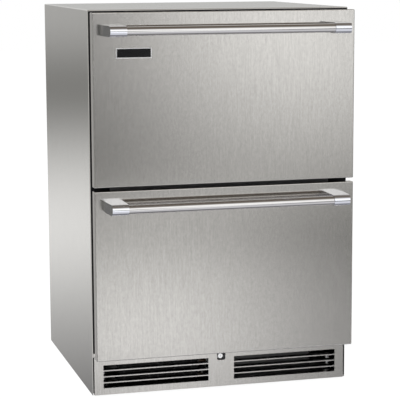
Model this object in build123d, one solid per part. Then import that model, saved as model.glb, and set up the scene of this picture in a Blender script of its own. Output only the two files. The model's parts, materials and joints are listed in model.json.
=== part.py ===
from build123d import *
import os
from math import asin, cos, degrees, radians, sin, sqrt

# Undercounter drawer freezer with two drawers on telescopic slides. Sizes are in millimetres.
# Pieces are drawn with X to the right, Y going back from the cabinet's front face and Z up from
# the cabinet's lower edge. write_piece then moves each one so that the origin lies on the floor
# under the middle of the whole freezer.

# Every cut reaches this far past what it cuts
cut_over = 1.0

# Cabinet shell
cabinet_width = 606.0
cabinet_depth = 560.0
cabinet_height = 870.0
shell_sheet = 1.0
fold_radius = 2.0
front_flange = 22.0
rear_flange = 16.0
side_foam = 45.0
top_foam = 45.0
back_foam = 50.0
floor_foam = 36.0
liner_sheet = 1.0
frame_depth = 3.0
frame_lip = 1.0
frame_foot = 10.0
mullion_height = 62.0
mullion_depth = 42.0
mullion_wall = 2.5

# Machine compartment under and behind the foam
deck_sheet = 1.0
machine_height = 205.0
machine_depth = 190.0
step_foam = 34.0
cover_sheet = 1.0
vent_width = 6.0
vent_height = 62.0
vent_pitch = 16.0
vent_count = 8
vent_middle_x = 130.0
vent_middle_z = 150.0

# Base pan and levelling legs
pan_sheet = 1.5
pan_lip = 9.0
pan_side_gap = 0.3
foot_show = 4.0
foot_pad_radius = 16.0
foot_pad_height = 6.0
foot_pad_chamfer = 2.0
foot_stem_radius = 5.0
foot_stem_length = 44.0
foot_play = 0.05
foot_inset_x = 31.0
foot_inset_y = 36.0
foot_stop_gap = 0.5
foot_boss_height = 20.0
foot_boss_wall = 3.0
foot_travel = 25.0

# Toe grille
grille_height = 87.6
grille_sheet = 1.2
grille_return = 12.0
grille_side_gap = 3.0
grille_deck_gap = 0.4
louvre_count = 4
louvre_top = 68.7
louvre_pitch = 13.95
louvre_cut = 11.6
louvre_show = 2.6
louvre_reach = 11.0
louvre_inner_x = 30.6
louvre_edge_margin = 25.0
louvre_slit = 0.8
louvre_corner = 1.5
notch_half_width = 10.0
notch_bottom = 62.0
notch_corner = 4.0

# Drawer fronts
toe_gap = 2.4
drawer_gap = 8.5
front_top_gap = 4.5
front_side_gap = 0.5
front_standoff = 48.0
skin_sheet = 1.0
skin_depth = 20.5
skin_return = 13.0
skin_radius = 2.0
panel_inset = 12.0
panel_depth = 15.5
panel_play = 1.0
panel_groove_depth = 4.0
panel_groove_width = 20.0
gasket_width = 14.0
gasket_gap = 0.4
gasket_waist = 2.0
gasket_waist_depth = 4.0

# Handles
upper_handle_drop = 39.0
lower_handle_drop = 34.5
handle_bar_radius = 10.0
handle_bar_wall = 2.0
handle_bar_seat = 10.0
bracket_margin = 24.5
bracket_width = 41.0
bracket_height = 24.0
bracket_axis = 48.0
bracket_taper = 4.0
screw_radius = 2.5
screw_spacing = 18.0
screw_grip = 14.0
screw_head_radius = 4.5
screw_head_height = 3.0
screw_play = 0.1
screw_pocket = 1.5

# Plate on the upper front
plate_width = 80.0
plate_height = 23.0
plate_depth = 1.5
plate_margin = 52.5
plate_drop = 77.0
plate_rim = 1.2
plate_recess = 0.5
plate_corner = 1.5

# Slides
slide_thickness = 12.7
slide_height = 45.7
slide_sheet = 1.2
slide_bend = 1.6
slide_lip_gap = 0.4
slide_web_gap = 0.5
slide_flange_gap = 1.2
slide_side_gap = 0.5
slide_front_gap = 4.0
upper_slide_length = 450.0
lower_slide_length = 330.0
upper_slide_rise = 92.0
lower_slide_rise = 175.0
slide_overlap_left = 20.0

# Bins
bin_sheet = 1.0
bin_rim = 9.0
bin_corner = 6.0
bin_floor_gap = 14.0
bin_top_gap = 33.0
upper_bin_back_gap = 45.0
lower_bin_back_gap = 10.0

# Lock in the grille's notch
lock_z = 70.0
lock_recess = 8.0
lock_radius = 6.3
lock_length = 22.0
lock_rim = 0.8
lock_play = 0.05
keyway_width = 1.6
keyway_height = 5.0
keyway_depth = 2.0
cam_width = 8.0
cam_reach = 16.0
cam_sheet = 2.0
cam_nut_radius = 4.0
cam_nut_height = 3.0
lock_arm_sheet = 2.0
lock_arm_width = 13.0
lock_arm_z = 84.0
lock_eye_sheet = 3.0
lock_eye_radius = 7.6
lock_eye_setback = 6.0
keeper_sheet = 3.0
keeper_half_width = 30.0
keeper_drop = 38.0
keeper_slot_play = 1.0
keeper_cam_gap = 3.0
keeper_foot = 14.0

# Compressor
compressor_side_room = 157.0
compressor_y = 465.0
compressor_radius = 62.0
compressor_height = 150.0
compressor_crown = 16.0
compressor_shoulder = 24.0
compressor_heel = 18.0
compressor_seam = 4.0
compressor_seam_height = 5.0
compressor_foot_length = 158.0
compressor_foot_width = 112.0
compressor_foot_sheet = 3.0
compressor_bolt_x = 68.0
compressor_bolt_y = 46.0
terminal_width = 46.0
terminal_height = 40.0
terminal_depth = 24.0
grommet_radius = 9.0
grommet_height = 12.0
grommet_waist = 6.0
grommet_neck = 3.0

# Coils
coil_tube_radius = 4.0
fin_sheet = 0.8
condenser_side_room = 57.0
condenser_inner_x = 45.0
condenser_y0 = 24.0
condenser_rows = 2
condenser_layers = 2
condenser_row_pitch = 34.0
condenser_layer_pitch = 38.0
condenser_fins = 9
evaporator_side_room = 68.0
evaporator_rows = 2
evaporator_layers = 2
evaporator_row_pitch = 44.0
evaporator_layer_pitch = 34.0
evaporator_fins = 9
evaporator_back_gap = 14.0
coil_edge = 13.0

# Fans
condenser_fan_side_room = 152.0
condenser_fan_y = 384.0
condenser_fan_radius = 75.0
condenser_fan_blades = 5
fan_blade_span = 46.0
fan_blade_pitch = 26.0
fan_blade_sheet = 1.6
fan_hub_radius = 17.0
fan_hub_length = 20.0
fan_root_depth = 3.4
fan_tip_gap = 5.0
fan_shaft_radius = 3.0
fan_shaft_play = 0.05
fan_plate_gap = 4.0
shroud_sheet = 1.5
shroud_ring = 10.0
shroud_side_gap = 7.0
shroud_inner_x = -5.0
motor_radius = 28.0
motor_length = 34.0
motor_gap = 3.0
motor_leg_width = 9.0
motor_leg_sheet = 3.0
motor_legs = 3
motor_corner = 3.0
evaporator_fan_radius = 55.0
evaporator_fan_blades = 5
evaporator_fan_z = 412.0

# Evaporator cover
air_cover_sheet = 1.5
air_cover_y = 350.0
air_cover_top = 500.0
air_cover_side_gap = 0.5
air_slot_count = 7
air_slot_width = 26.0
air_slot_height = 5.0
air_slot_pitch = 60.0
air_slot_drop = 18.0
air_return_drop = 12.0

# Lines, drier and drain
line_radius = 3.5
capillary_radius = 1.6
line_bend = 10.0
line_x = -18.0
line_run_y = 215.0
stub_radius = 5.0
stub_length = 8.0
suction_rise = 90.0
feed_hole_radius = 10.0
feed_side_room = 20.0
suction_offset = -3.0
capillary_offset = 5.0
capillary_run_y = 345.0
drier_radius = 9.5
drier_length = 70.0
drier_taper = 5.0
drier_y = 110.0
drain_radius = 8.0
drain_wall = 1.5
drain_side_room = 152.0
drain_y = 500.0
drain_air_gap = 18.0
tray_length = 170.0
tray_width = 72.0
tray_height = 34.0
tray_wall = 2.0
tray_draft = 4.0

# Electrics
control_side_room = 64.0
control_width = 190.0
control_y0 = 60.0
control_depth = 130.0
control_height = 58.0
control_corner = 4.0
control_lid = 3.0
control_wall = 1.2
display_width = 120.0
display_depth = 30.0
display_height = 13.0
display_front = 10.0
display_key_radius = 4.5
display_key_pitch = 14.0
display_key_rise = 0.6
display_keys = 4
light_side_room = 58.0
light_width = 12.0
light_height = 5.0
light_chamfer = 1.6
light_setback = 62.0
lower_light_setback = 22.0
inlet_side_room = 87.0
inlet_z = 60.0
inlet_width = 27.5
inlet_height = 20.0
inlet_flange_width = 50.0
inlet_flange_height = 24.0
inlet_flange_depth = 2.0
inlet_depth = 22.0
inlet_wall = 2.0
inlet_socket_corner = 4.0
inlet_pin_width = 1.6
inlet_pin_height = 5.0
inlet_pin_pitch = 7.0
cover_screw_radius = 2.0
cover_head_radius = 4.0
cover_head_height = 1.6
cover_slot_width = 0.8
cover_screw_inset = 18.0

# Sizes that follow from the ones above
half_width = cabinet_width / 2
inner_half = half_width - shell_sheet
front_half = half_width - front_side_gap
opening_half = half_width - side_foam
bracket_outer_x = front_half - bracket_margin
bracket_inner_x = bracket_outer_x - bracket_width
compressor_x = inner_half - compressor_side_room
condenser_x0 = condenser_side_room - inner_half
condenser_x1 = -condenser_inner_x
condenser_fan_x = condenser_fan_side_room - inner_half
evaporator_half_width = opening_half - evaporator_side_room
feed_x = opening_half - feed_side_room
drain_x = drain_side_room - inner_half
control_x1 = inner_half - control_side_room
control_x0 = control_x1 - control_width
light_half_length = opening_half - light_side_room
inlet_x = inlet_side_room - inner_half
deck_z = grille_height + grille_deck_gap
floor_z = deck_z + deck_sheet + floor_foam
ceiling_z = cabinet_height - top_foam
back_y = cabinet_depth - back_foam
lower_front_z = grille_height + toe_gap
front_height = (cabinet_height - front_top_gap - drawer_gap - lower_front_z) / 2
upper_front_z = lower_front_z + front_height + drawer_gap
mullion_z = upper_front_z - drawer_gap / 2
mullion_low = mullion_z - mullion_height / 2
mullion_high = mullion_z + mullion_height / 2
riser_y = cabinet_depth - machine_depth
step_y = riser_y - step_foam
step_z = machine_height + deck_sheet + step_foam
pan_z = foot_pad_height - foot_show + foot_stop_gap
pan_top = pan_z + pan_sheet
panel_front = -front_standoff + skin_depth
panel_back = panel_front + panel_depth
gasket_depth = -panel_back - frame_lip - gasket_gap
bracket_reach = bracket_axis + bracket_height / 2
rail_x = opening_half - slide_thickness
upper_travel = upper_slide_length - slide_overlap_left
lower_travel = lower_slide_length - slide_overlap_left
rear_proud = cover_sheet + max(inlet_flange_depth, cover_head_height)
cabinet_front = (bracket_reach + front_standoff - cabinet_depth - rear_proud) / 2
louvre_tilt = degrees(asin(louvre_show / louvre_reach))
cover_back = cabinet_depth + cover_sheet


def block(x0, x1, y0, y1, z0, z1):
    """A box between two corners."""
    return Pos((x0 + x1) / 2, (y0 + y1) / 2, (z0 + z1) / 2) * Box(x1 - x0, y1 - y0, z1 - z0)


def along_x(face, x0, x1):
    """A section drawn in Y and Z, made into a bar from x0 to x1."""
    return Pos(x0, 0, 0) * extrude(Plane.YZ * face, x1 - x0)


def along_y(face, y0, y1):
    """A section drawn in X and Z, made into a bar from y0 to y1."""
    return Pos(0, y1, 0) * extrude(Plane.XZ * face, y1 - y0)


def along_z(face, z0, z1):
    """A section drawn in X and Y, made into a bar from z0 to z1."""
    return Pos(0, 0, z0) * extrude(face, z1 - z0)


def rod_y(x, z, radius, y0, y1):
    """A round bar along Y."""
    return along_y(Pos(x, z) * Circle(radius), y0, y1)


def rod_x(y, z, radius, x0, x1):
    """A round bar along X."""
    return along_x(Pos(y, z) * Circle(radius), x0, x1)


def rod_z(x, y, radius, z0, z1):
    """A round upright bar."""
    return along_z(Pos(x, y) * Circle(radius), z0, z1)


def ring_y(x0, x1, z0, z1, width, y0, y1):
    """A rectangular frame standing in the X-Z plane."""
    outer = block(x0, x1, y0, y1, z0, z1)
    return outer - block(x0 + width, x1 - width, y0 - cut_over, y1 + cut_over,
                         z0 + width, z1 - width)


def outline(*points):
    """A flat face with straight edges through the points."""
    return make_face(Polyline(*points, close=True))


def folded(points, thickness, bend):
    """The section of a folded sheet: a path of its outer face, with the metal to its left."""
    path = FilletPolyline(*points, radius=bend)
    return make_face(offset(path, thickness, side=Side.LEFT))


def tube(points, radius, bend):
    """A bent round line through the points."""
    path = FilletPolyline(*points, radius=bend)
    return sweep(Plane(path @ 0, z_dir=path % 0) * Circle(radius), path=path)


def write_piece(name, *solids):
    """Move a piece from the cabinet's front lower edge to the origin and write it."""
    placed = [Pos(0, cabinet_front, foot_show) * solid for piece in solids for solid in piece.solids()]
    whole = placed[0] if len(placed) == 1 else Compound(children=placed)
    export_step(whole, os.path.join("parts", name + ".step"))


def cabinet_wrapper():
    """Two sides and the top in one folded sheet, with flanges turned in at the front and rear."""
    outer = block(-half_width, half_width, 0, cabinet_depth, 0, cabinet_height)
    outer = fillet(shell_folds(outer), fold_radius)
    inner = block(-inner_half, inner_half, shell_sheet, cabinet_depth - shell_sheet,
                  -cut_over, cabinet_height - shell_sheet)
    inner = fillet(shell_folds(inner), fold_radius - shell_sheet)
    flange_half = half_width - front_flange
    rear_half = half_width - rear_flange
    front_hole = block(-flange_half, flange_half, -cut_over, fold_radius,
                       -cut_over, cabinet_height - front_flange)
    rear_hole = block(-rear_half, rear_half, cabinet_depth - fold_radius, cabinet_depth + cut_over,
                      -cut_over, cabinet_height - rear_flange)
    toe_hole = block(-inner_half, inner_half, -cut_over, fold_radius, -cut_over, deck_z + deck_sheet)
    return outer - inner - front_hole - rear_hole - toe_hole


def shell_folds(box):
    """The upright edges of the front and rear, the top's front and rear, and the top's sides."""
    ends = box.faces().sort_by(Axis.Y)
    edges = ends[0].edges() + ends[-1].edges() + box.edges().filter_by(Axis.Y).group_by(Axis.Z)[-1]
    lowest = box.edges().group_by(Axis.Z)[0]
    return [edge for edge in edges if edge not in lowest]


def cavity(grow, front):
    """The food space, with its floor stepped over the machinery, grown by the liner's sheet."""
    points = [
        (front, floor_z - grow),
        (step_y + grow, floor_z - grow),
        (step_y + grow, step_z - grow),
        (back_y + grow, step_z - grow),
        (back_y + grow, ceiling_z + grow),
        (front, ceiling_z + grow),
    ]
    return along_x(outline(*points), -opening_half - grow, opening_half + grow)


def machine_space(grow, front, back):
    """The space under the deck, low at the front and high at the rear, grown by the deck."""
    points = [
        (front, -cut_over),
        (front, deck_z + grow),
        (riser_y - grow, deck_z + grow),
        (riser_y - grow, machine_height + grow),
        (back, machine_height + grow),
        (back, -cut_over),
    ]
    return along_x(outline(*points), -inner_half, inner_half)


def feed_holes():
    """Where the drain and the two evaporator lines pass through the deck, foam and liner."""
    low, high = machine_height - cut_over, step_z + cut_over
    return rod_z(feed_x, compressor_y, feed_hole_radius, low, high) + rod_z(
        drain_x, drain_y, drain_radius, low, high)


def cabinet_liner():
    """The inner box, open at the front."""
    return cavity(liner_sheet, frame_depth) - cavity(0, frame_depth - cut_over) - feed_holes()


def machine_deck():
    """The sheet that closes the foam from below and steps up over the compressor."""
    back = cabinet_depth - fold_radius
    sheet = machine_space(deck_sheet, fold_radius, back) - machine_space(0, 0, back + cut_over)
    return sheet - feed_holes()


def foam_insulation():
    """The foam between the shell and the liner."""
    back = cabinet_depth - 2 * shell_sheet
    outer = block(-inner_half, inner_half, frame_depth, back, 0, cabinet_height - shell_sheet)
    outer = fillet(outer.edges().filter_by(Axis.Y).group_by(Axis.Z)[-1], fold_radius - shell_sheet)
    foam = outer - machine_space(deck_sheet, 0, cabinet_depth) - cavity(liner_sheet, 0)
    return foam - feed_holes()


def face_frame():
    """The plastic break strip round both openings, with a lip over the flanges and a back behind."""
    half, edge = half_width - front_flange, half_width - fold_radius
    foot, top = deck_z + deck_sheet, cabinet_height - fold_radius
    strip = block(-half, half, 0, frame_depth, foot, cabinet_height - front_flange)
    backing = block(-edge, edge, shell_sheet, frame_depth, foot, top)
    lip = block(-edge, edge, -frame_lip, 0, foot + frame_foot, top)
    hole = block(-opening_half, opening_half, -frame_lip - cut_over, frame_depth + cut_over,
                 floor_z, ceiling_z)
    return strip + backing + lip - hole


def center_mullion():
    """The hollow bar between the two drawers that both gaskets close against."""
    bar = block(-opening_half, opening_half, -frame_lip, mullion_depth, mullion_low, mullion_high)
    hollow = block(-opening_half - cut_over, opening_half + cut_over,
                   mullion_wall - frame_lip, mullion_depth + cut_over,
                   mullion_low + mullion_wall, mullion_high - mullion_wall)
    return bar - hollow


def back_panel():
    """The plain rear sheet over the foam, held behind the rear flanges."""
    y1, half = cabinet_depth - shell_sheet, half_width - fold_radius
    return block(-half, half, y1 - shell_sheet, y1,
                 machine_height + deck_sheet, cabinet_height - fold_radius)


def cover_screw_points():
    """Places of the rear cover's screws, in X and Z."""
    x = half_width - rear_flange / 2
    rows = (pan_top + cover_screw_inset, machine_height + rear_flange - cover_screw_inset)
    return [(side * x, z) for side in (-1, 1) for z in rows]


def machine_cover_rear():
    """The louvred cover over the machinery, screwed to the rear flanges."""
    half = half_width - fold_radius
    cover = block(-half, half, cabinet_depth, cover_back, pan_top, machine_height + rear_flange)
    for side in (-1, 1):
        for index in range(vent_count):
            x = side * vent_middle_x + (index - (vent_count - 1) / 2) * vent_pitch
            cover -= block(x - vent_width / 2, x + vent_width / 2,
                           cabinet_depth - cut_over, cover_back + cut_over,
                           vent_middle_z - vent_height / 2, vent_middle_z + vent_height / 2)
    cover -= block(inlet_x - inlet_width / 2, inlet_x + inlet_width / 2, cabinet_depth - cut_over,
                   cover_back + cut_over, inlet_z - inlet_height / 2, inlet_z + inlet_height / 2)
    for x, z in cover_screw_points():
        cover -= rod_y(x, z, cover_screw_radius, cabinet_depth - cut_over, cover_back + cut_over)
    return cover


def cover_screws():
    """Pan-head screws through the rear cover into the rear flanges."""
    screws = []
    for x, z in cover_screw_points():
        shank = rod_y(x, z, cover_screw_radius, cabinet_depth, cover_back)
        head = rod_y(x, z, cover_head_radius, cover_back, cover_back + cover_head_height)
        slot = block(x - cover_head_radius - cut_over, x + cover_head_radius + cut_over,
                     cover_back + cover_head_height / 2, cover_back + cover_head_height + cut_over,
                     z - cover_slot_width / 2, z + cover_slot_width / 2)
        screws.append(shank + head - slot)
    return screws


def foot_points():
    """Places of the four legs, in X and Y."""
    x = half_width - foot_inset_x
    return {
        "front_left": (-x, foot_inset_y),
        "front_right": (x, foot_inset_y),
        "rear_left": (-x, cabinet_depth - foot_inset_y),
        "rear_right": (x, cabinet_depth - foot_inset_y),
    }


def base_pan():
    """The folded floor of the machine space, with a threaded boss for each leg."""
    half = inner_half - pan_side_gap
    y0 = grille_return + pan_side_gap
    y1 = cabinet_depth - fold_radius - pan_side_gap
    pan = block(-half, half, y0, y1, pan_z, pan_top + pan_lip)
    pan -= block(-half + pan_sheet, half - pan_sheet, y0 + pan_sheet, y1 - pan_sheet,
                 pan_top, pan_top + pan_lip + cut_over)
    for x, y in foot_points().values():
        pan += rod_z(x, y, foot_stem_radius + foot_boss_wall, pan_top, pan_top + foot_boss_height)
    for x, y in foot_points().values():
        pan -= rod_z(x, y, foot_stem_radius + foot_play,
                     pan_z - cut_over, pan_top + foot_boss_height + cut_over)
    return pan


def leveling_leg(x, y):
    """A screw leg with a round pad that stands on the floor."""
    pad_top = foot_pad_height - foot_show
    pad = rod_z(x, y, foot_pad_radius, -foot_show, pad_top)
    pad = chamfer(pad.edges().group_by(Axis.Z)[-1], foot_pad_chamfer)
    return pad + rod_z(x, y, foot_stem_radius, pad_top, pad_top + foot_stem_length)


def louvre_rows():
    """Top of each louvre's opening."""
    return [louvre_top - index * louvre_pitch for index in range(louvre_count)]


def toe_grille():
    """A folded plate with two groups of louvres lanced inwards and a notch for the lock."""
    half = inner_half - grille_side_gap
    plate = block(-half, half, 0, grille_sheet, 0, grille_height)
    plate += block(-half, half, 0, grille_return, grille_height - grille_sheet, grille_height)
    for side in (-1, 1):
        end = side * half
        edge = side * (half - grille_sheet)
        plate += block(min(end, edge), max(end, edge), 0, grille_return, 0, grille_height)
    outer = half_width - louvre_edge_margin
    for side in (-1, 1):
        x0, x1 = sorted((side * louvre_inner_x, side * outer))
        for top in louvre_rows():
            plate -= louvre_opening(x0, x1, top)
        for top in louvre_rows():
            plate += louvre_blade(x0, x1, top - louvre_cut)
    return plate - lock_notch()


def louvre_opening(x0, x1, top):
    """One opening, rounded at its upper corners."""
    face = outline((x0, top - louvre_cut), (x1, top - louvre_cut), (x1, top), (x0, top))
    face = fillet(face.vertices().group_by(Axis.Y)[-1], louvre_corner)
    return along_y(face, -cut_over, grille_sheet + cut_over)


def louvre_blade(x0, x1, hinge):
    """The lanced strip under an opening, bent back from its lower edge."""
    blade = block(x0 + louvre_slit, x1 - louvre_slit, 0, louvre_reach, -grille_sheet, 0)
    return Pos(0, 0, hinge) * Rot(louvre_tilt, 0, 0) * blade


def lock_notch():
    """The U-shaped notch, open at the grille's top edge."""
    points = ((-notch_half_width, notch_bottom), (notch_half_width, notch_bottom),
              (notch_half_width, grille_height + cut_over), (-notch_half_width, grille_height + cut_over))
    face = fillet(outline(*points).vertices().group_by(Axis.Y)[0], notch_corner)
    return along_y(face, -cut_over, grille_return + cut_over)


def front_skin(z0, handle_z):
    """The stainless pan of a drawer front, with its edges folded back and in."""
    half, z1, y0 = front_half, z0 + front_height, -front_standoff
    outer = block(-half, half, y0, panel_front, z0, z1)
    outer = fillet(outer.edges() - outer.faces().sort_by(Axis.Y)[-1].edges(), skin_radius)
    inner = block(-half + skin_sheet, half - skin_sheet, y0 + skin_sheet, panel_front - skin_sheet,
                  z0 + skin_sheet, z1 - skin_sheet)
    hole = block(-half + skin_return, half - skin_return, y0 + skin_sheet, panel_front + cut_over,
                 z0 + skin_return, z1 - skin_return)
    skin = outer - inner - hole
    for x, z in handle_screw_points(handle_z):
        skin -= rod_y(x, z, screw_radius + screw_play, y0 - cut_over, y0 + skin_sheet + cut_over)
    return skin


def handle_screw_points(handle_z):
    """Places of a handle's four screws, in X and Z."""
    middle = bracket_inner_x + bracket_width / 2
    offsets = (middle - screw_spacing / 2, middle + screw_spacing / 2)
    return [(side * x, handle_z) for side in (-1, 1) for x in offsets]


def inner_panel(z0, handle_z):
    """The moulded back of a drawer front, with its insulation core inside the pan."""
    half, z1 = front_half, z0 + front_height
    inset = skin_return + panel_play
    plug = block(-half + inset, half - inset, -front_standoff + skin_sheet, panel_front,
                 z0 + inset, z1 - inset)
    plate = block(-half + panel_inset, half - panel_inset, panel_front, panel_back,
                  z0 + panel_inset, z1 - panel_inset)
    panel = plug + plate - panel_groove(z0, z1)
    for x, z in handle_screw_points(handle_z):
        pocket_end = -front_standoff + skin_sheet + screw_head_height + screw_pocket
        panel -= rod_y(x, z, screw_head_radius + screw_pocket, -front_standoff, pocket_end)
    return panel


def panel_groove(z0, z1):
    """The shallow groove that runs round the back of the inner panel, inside the gasket."""
    inset = panel_inset + gasket_width + panel_play
    half = front_half - inset
    return ring_y(-half, half, z0 + inset, z1 - inset, panel_groove_width,
                  panel_back - panel_groove_depth, panel_back + cut_over)


def door_gasket(z0):
    """The magnetic gasket round a drawer front, drawn in at its middle."""
    half, z1 = front_half - panel_inset, z0 + front_height - panel_inset
    low = z0 + panel_inset
    y1 = panel_back + gasket_depth
    ring = ring_y(-half, half, low, z1, gasket_width, panel_back, y1)
    middle = panel_back + gasket_depth / 2
    waist = block(-half - cut_over, half + cut_over,
                  middle - gasket_waist_depth / 2, middle + gasket_waist_depth / 2,
                  low - cut_over, z1 + cut_over)
    waist -= block(-half + gasket_waist, half - gasket_waist, panel_back, y1,
                   low + gasket_waist, z1 - gasket_waist)
    return ring - waist


def handle_bar(z):
    """The round tube of a handle."""
    y = -front_standoff - bracket_axis
    end = bracket_inner_x + handle_bar_seat
    return rod_x(y, z, handle_bar_radius, -end, end) - rod_x(
        y, z, handle_bar_radius - handle_bar_wall, -end - cut_over, end + cut_over)


def handle_bracket(side, z):
    """A bracket with a rounded nose, an outer end that tapers in, and a seat for the bar."""
    base, y = -front_standoff, -front_standoff - bracket_axis
    radius = bracket_height / 2
    section = outline((base, z - radius), (base, z + radius), (y, z + radius), (y, z - radius))
    section += Pos(y, z) * Circle(radius)
    plan = outline((bracket_inner_x, base), (bracket_outer_x, base),
                   (bracket_outer_x - bracket_taper, y - radius), (bracket_inner_x, y - radius))
    body = along_x(section, bracket_inner_x, bracket_outer_x) & along_z(plan, z - radius, z + radius)
    body -= rod_x(y, z, handle_bar_radius + screw_play, bracket_inner_x - cut_over,
                  bracket_inner_x + handle_bar_seat)
    for x, hole_z in handle_screw_points(z):
        if x > 0:
            body -= rod_y(x, hole_z, screw_radius + screw_play, base - screw_grip, base + cut_over)
    return body if side > 0 else mirror(body, Plane.YZ)


def handle_screws(handle_z):
    """The four screws that hold a handle from inside the front."""
    base = -front_standoff
    screws = []
    for x, z in handle_screw_points(handle_z):
        shank = rod_y(x, z, screw_radius, base - screw_grip, base + skin_sheet)
        head = rod_y(x, z, screw_head_radius, base + skin_sheet, base + skin_sheet + screw_head_height)
        screws.append(shank + head)
    return screws


def name_plate():
    """The small plate on the upper front: a raised rim round a bare field."""
    x0 = plate_margin - front_half
    x1 = x0 + plate_width
    z1 = upper_front_z + front_height - plate_drop
    z0, base = z1 - plate_height, -front_standoff
    plate = block(x0, x1, base - plate_depth, base, z0, z1)
    plate = fillet(plate.edges().filter_by(Axis.Y), plate_corner)
    field = block(x0 + plate_rim, x1 - plate_rim,
                  base - plate_depth - cut_over, base - plate_depth + plate_recess,
                  z0 + plate_rim, z1 - plate_rim)
    return plate - field


def slide_channel(side, z, length):
    """The cabinet member of a slide: a channel with lips, screwed to the liner."""
    high, reach = slide_height / 2, slide_thickness - 2 * slide_sheet - slide_side_gap
    lip = high - slide_sheet - slide_flange_gap + slide_lip_gap
    points = ((reach, lip), (reach, high), (0, high), (0, -high), (reach, -high), (reach, -lip))
    return slide_member(side, z, points, length)


def slide_intermediate(side, z, length):
    """The middle member, which runs inside the cabinet member."""
    high = slide_height / 2 - slide_sheet - slide_flange_gap
    web = slide_sheet + slide_web_gap
    reach = slide_thickness - slide_sheet - slide_side_gap
    points = ((reach, high), (web, high), (web, -high), (reach, -high))
    return slide_member(side, z, points, length)


def slide_rail(side, z, length):
    """The drawer member, which runs inside the middle one and carries the bin."""
    high = slide_height / 2 - 2 * slide_sheet - 2 * slide_flange_gap
    inner = 2 * slide_sheet + 2 * slide_web_gap
    points = ((inner, -high), (slide_thickness, -high), (slide_thickness, high), (inner, high))
    return slide_member(side, z, points, length)


def slide_member(side, z, points, length):
    """A folded slide member on one side, with its section measured in from the liner wall."""
    face = folded(points, slide_sheet, slide_bend)
    bar = along_y(face, slide_front_gap, slide_front_gap + length)
    left = Pos(-opening_half, 0, z) * bar
    return left if side < 0 else mirror(left, Plane.YZ)


def slide_pair(member, z, length):
    """The left and right members of a drawer's slides."""
    return [member(side, z, length) for side in (-1, 1)]


def drawer_bin(z0, z1, y1):
    """A sheet bin, open at the top, with its rim turned in."""
    outer = block(-rail_x, rail_x, panel_back, y1, z0, z1)
    outer = fillet(outer.edges().group_by(Axis.Z)[0], bin_corner)
    inner = block(-rail_x + bin_sheet, rail_x - bin_sheet, panel_back + bin_sheet, y1 - bin_sheet,
                  z0 + bin_sheet, z1 - bin_sheet)
    inner = fillet(inner.edges().group_by(Axis.Z)[0], bin_corner - bin_sheet)
    mouth = block(-rail_x + bin_rim, rail_x - bin_rim, panel_back + bin_rim, y1 - bin_rim,
                  z1 - bin_sheet - cut_over, z1 + cut_over)
    return outer - inner - mouth


def lock_bracket():
    """The bent arm under the lower front that carries the lock through the grille's notch."""
    low = lower_front_z + panel_inset
    drop_y = panel_back - lock_arm_sheet
    eye_y = lock_recess + lock_eye_setback
    half = lock_arm_width / 2
    flange = block(-half, half, panel_front, panel_back, low - lock_arm_sheet, low)
    drop = block(-half, half, drop_y, panel_back, lock_arm_z, low)
    arm = block(-half, half, drop_y, eye_y + lock_eye_sheet, lock_arm_z, lock_arm_z + lock_arm_sheet)
    eye_face = Pos(0, lock_z) * Circle(lock_eye_radius) + Pos(0, (lock_z + lock_arm_z) / 2) * Rectangle(
        lock_arm_width, lock_arm_z - lock_z)
    eye = along_y(eye_face, eye_y, eye_y + lock_eye_sheet)
    bore = rod_y(0, lock_z, lock_radius + lock_play, eye_y - cut_over, eye_y + lock_eye_sheet + cut_over)
    return flange + drop + arm + eye - bore


def lock_cylinder():
    """The key cylinder, with a rim and a keyway in its face."""
    y0 = lock_recess
    barrel = rod_y(0, lock_z, lock_radius, y0, y0 + lock_length)
    barrel = chamfer(barrel.edges().group_by(Axis.Y)[0], lock_rim)
    keyway = block(-keyway_width / 2, keyway_width / 2, y0 - cut_over, y0 + keyway_depth,
                   lock_z - keyway_height / 2, lock_z + keyway_height / 2)
    return barrel - keyway


def lock_cam():
    """The tongue behind the cylinder, upright when open, and its nut."""
    y0 = lock_recess + lock_length
    tongue = Pos(0, lock_z) * Circle(cam_width / 2)
    tongue += Pos(0, lock_z + cam_reach / 2) * Rectangle(cam_width, cam_reach)
    plate = along_y(tongue, y0, y0 + cam_sheet)
    nut = Pos(0, lock_z) * RegularPolygon(cam_nut_radius, 6)
    return plate + along_y(nut, y0 + cam_sheet, y0 + cam_sheet + cam_nut_height)


def lock_keeper():
    """The slotted plate under the deck that the turned cam catches behind."""
    y1 = lock_recess + lock_length - keeper_cam_gap
    y0 = y1 - keeper_sheet
    plate = block(-keeper_half_width, keeper_half_width, y0, y1, deck_z - keeper_drop, deck_z)
    plate += block(-keeper_half_width, keeper_half_width, y0, y0 + keeper_foot,
                   deck_z - keeper_sheet, deck_z)
    radius = lock_eye_radius + keeper_slot_play
    slot = Pos(0, lock_z) * Circle(radius)
    slot += Pos(0, (lock_z + deck_z + cut_over) / 2) * Rectangle(2 * radius, deck_z + cut_over - lock_z)
    return plate - along_y(slot, y0 - cut_over, y0 + keeper_foot + cut_over)


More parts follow.
